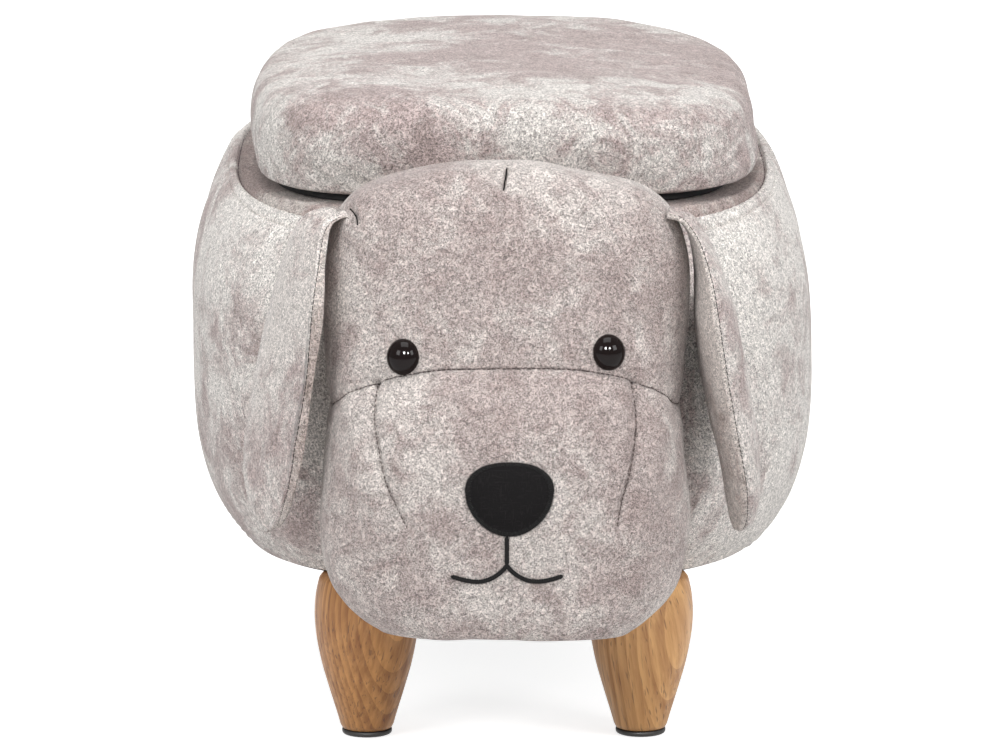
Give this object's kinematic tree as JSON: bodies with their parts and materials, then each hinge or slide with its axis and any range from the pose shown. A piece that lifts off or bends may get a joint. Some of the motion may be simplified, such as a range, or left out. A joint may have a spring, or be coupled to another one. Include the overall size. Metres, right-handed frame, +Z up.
{
  "type": "animal footstool",
  "caption": "Padded storage footstool shaped like a dog, in crushed velvet, with a hinged lid, floppy ears and turned wooden legs.",
  "frame": {"origin": "on the floor, in the middle of the footprint", "axes": "+Z up; the dog faces -Y, its left in the picture is -X"},
  "size_m": [0.348, 0.6017, 0.3538],
  "materials": {
    "velvet": "satin",
    "liner": "matte",
    "black_cloth": "matte",
    "felt": "matte",
    "thread": "satin",
    "filling": "matte",
    "plywood": "matte",
    "leg_wood": "satin",
    "steel": "satin",
    "glide_plastic": "matte",
    "eye_plastic": "gloss"
  },
  "bodies": {
    "stool": {"base_board": "plywood", "wall_shell": "plywood", "rim_ring": "plywood", "body_padding": "filling", "body_side_cover": "velvet", "body_top_cover": "velvet", "storage_liner": "liner", "bottom_dust_cover": "black_cloth", "leg_front_left": "leg_wood", "leg_front_right": "leg_wood", "leg_rear_left": "leg_wood", "leg_rear_right": "leg_wood", "leg_bolt_front_left": "steel", "leg_bolt_front_right": "steel", "leg_bolt_rear_left": "steel", "leg_bolt_rear_right": "steel", "leg_nut_front_left": "steel", "leg_nut_front_right": "steel", "leg_nut_rear_left": "steel", "leg_nut_rear_right": "steel", "leg_glide_front_left": "glide_plastic", "leg_glide_front_right": "glide_plastic", "leg_glide_rear_left": "glide_plastic", "leg_glide_rear_right": "glide_plastic", "head_block": "plywood", "head_bolt_left": "steel", "head_bolt_right": "steel", "head_stuffing": "filling", "forehead_cover": "velvet", "muzzle_cover": "velvet", "eye_left": "eye_plastic", "eye_right": "eye_plastic", "eye_washer_left": "glide_plastic", "eye_washer_right": "glide_plastic", "nose_patch": "felt", "mouth_embroidery": "thread", "hinge_body_leaf_left": "steel", "hinge_body_leaf_right": "steel", "hinge_pin_left": "steel", "hinge_pin_right": "steel", "body_leaf_screw_left_inner": "steel", "body_leaf_screw_left_outer": "steel", "body_leaf_screw_right_inner": "steel", "body_leaf_screw_right_outer": "steel"},
    "lid": {"lid_board": "plywood", "lid_foam": "filling", "lid_cover": "velvet", "lid_lining": "black_cloth", "hinge_lid_leaf_left": "steel", "hinge_lid_leaf_right": "steel", "lid_leaf_screw_left_inner": "steel", "lid_leaf_screw_left_outer": "steel", "lid_leaf_screw_right_inner": "steel", "lid_leaf_screw_right_outer": "steel"},
    "ear_left": {"ear_outer_left": "velvet", "ear_lining_left": "velvet"},
    "ear_right": {"ear_outer_right": "velvet", "ear_lining_right": "velvet"}
  },
  "joints": [
    {"name": "lid_hinge", "type": "hinge", "parent": "stool", "child": "lid", "pos_m": [0, 0.2349, 0.2954], "axis": [-1, 0, 0], "range_deg": [0, 90]},
    {"name": "ear_left_lift", "type": "hinge", "parent": "stool", "child": "ear_left", "pos_m": [-0.08529, -0.22196, 0.30087], "axis": [0, 1, 0], "range_deg": [0, 90]},
    {"name": "ear_right_lift", "type": "hinge", "parent": "stool", "child": "ear_right", "pos_m": [0.08529, -0.22196, 0.30087], "axis": [0, -1, 0], "range_deg": [0, 90]}
  ]
}
